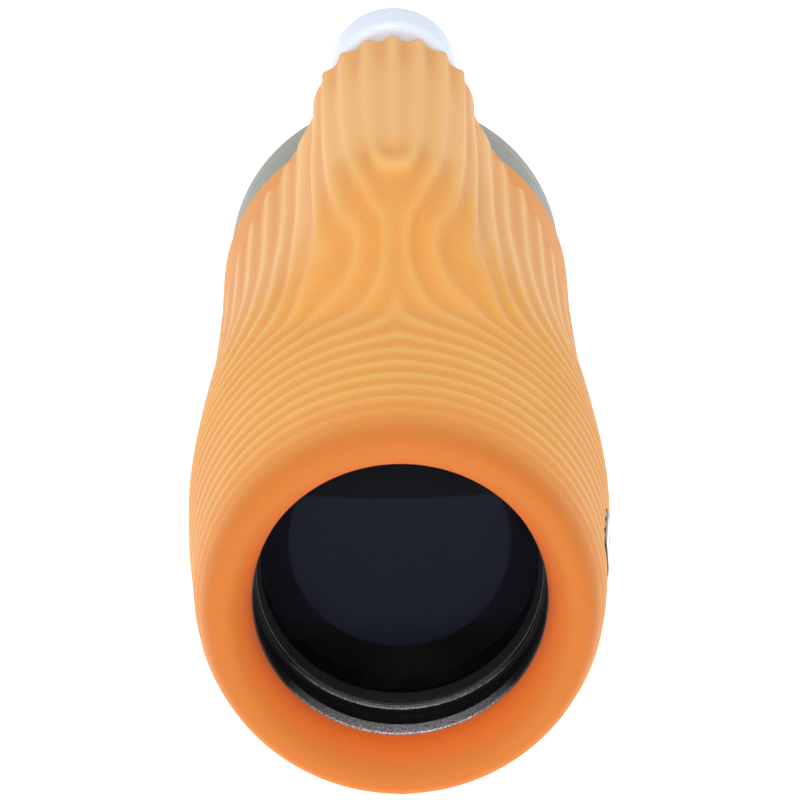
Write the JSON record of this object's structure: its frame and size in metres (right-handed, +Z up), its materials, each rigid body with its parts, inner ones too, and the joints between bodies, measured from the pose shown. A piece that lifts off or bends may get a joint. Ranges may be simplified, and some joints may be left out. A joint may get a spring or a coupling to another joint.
{
  "type": "monocular",
  "caption": "Handheld roof-prism monocular in a ridged rubber sleeve, with a top focus wheel that slides a lens, a twist-up eyecup and a tripod socket.",
  "frame": {"origin": "on the optical axis, at the front lip of the objective opening", "axes": "+Y along the optical axis from the objective to the eye, +Z up to the focus wheel, +X to the right seen from the front of the -Y side"},
  "size_m": [0.0488, 0.1257, 0.0603],
  "materials": {
    "armour": "matte moulded rubber",
    "badge": "satin",
    "housing": "fine moulded grain",
    "black_metal": "black anodised",
    "coated_glass": "coated, polished",
    "glass": "polished",
    "brass": "machined",
    "steel": "machined",
    "seal": "smooth",
    "wheel": "satin",
    "grey_plastic": "fine grain",
    "grey_rubber": "fine grain"
  },
  "bodies": {
    "root": {"barrel_armour": "armour", "side_badge": "badge", "main_housing": "housing", "tripod_bush": "brass", "front_bezel_ring": "black_metal", "objective_cell": "black_metal", "objective_seal": "seal", "objective_retaining_ring": "black_metal", "objective_crown_lens": "coated_glass", "objective_flint_lens": "coated_glass", "spindle_bush": "brass", "spindle_seal": "seal", "thrust_washer": "steel", "prism_cradle": "housing", "front_prism": "glass", "roof_prism": "glass", "prism_strap": "steel", "prism_strap_screws": "steel", "prism_baffle": "black_metal", "eyepiece_tube": "black_metal", "eyepiece_seal": "seal", "field_lens": "glass", "lens_spacer": "black_metal", "eye_flint_lens": "glass", "eye_crown_lens": "glass", "eyepiece_retaining_ring": "black_metal", "rear_cover": "grey_plastic"},
    "focus_carriage": {"focusing_lens_cell": "black_metal", "focusing_lens": "glass", "focusing_lens_ring": "black_metal", "focus_arm": "steel", "focus_nut": "brass"},
    "focus_wheel": {"focus_wheel": "wheel", "focus_spindle": "steel", "wheel_screw": "steel", "wheel_cap": "wheel"},
    "eyecup_lift": {"eyecup_lift_ring": "black_metal"},
    "eyecup": {"eyecup_core": "housing", "eyecup_rubber": "grey_rubber"}
  },
  "joints": [
    {"name": "focus_wheel_turn", "type": "hinge", "parent": "root", "child": "focus_wheel", "pos_m": [0, 0.11, 0.0272], "axis": [0, 1, 0], "range_deg": [-40.5, 320.5]},
    {"name": "focus_carriage_slide", "type": "slide", "parent": "root", "child": "focus_carriage", "axis": [0, 1, 0], "range_m": [-0.0005, 0.004]},
    {"name": "eyecup_lift", "type": "slide", "parent": "root", "child": "eyecup_lift", "axis": [0, 1, 0], "range_m": [0, 0.006]},
    {"name": "eyecup_twist", "type": "hinge", "parent": "eyecup_lift", "child": "eyecup", "pos_m": [0, 0.11, 0], "axis": [0, 1, 0], "range_deg": [0, 120.5]}
  ],
  "couplings": [
    {"joint": "focus_wheel_turn", "follows": "focus_carriage_slide", "rad_per_m": 1396.3},
    {"joint": "eyecup_twist", "follows": "eyecup_lift", "rad_per_m": 349.07}
  ]
}
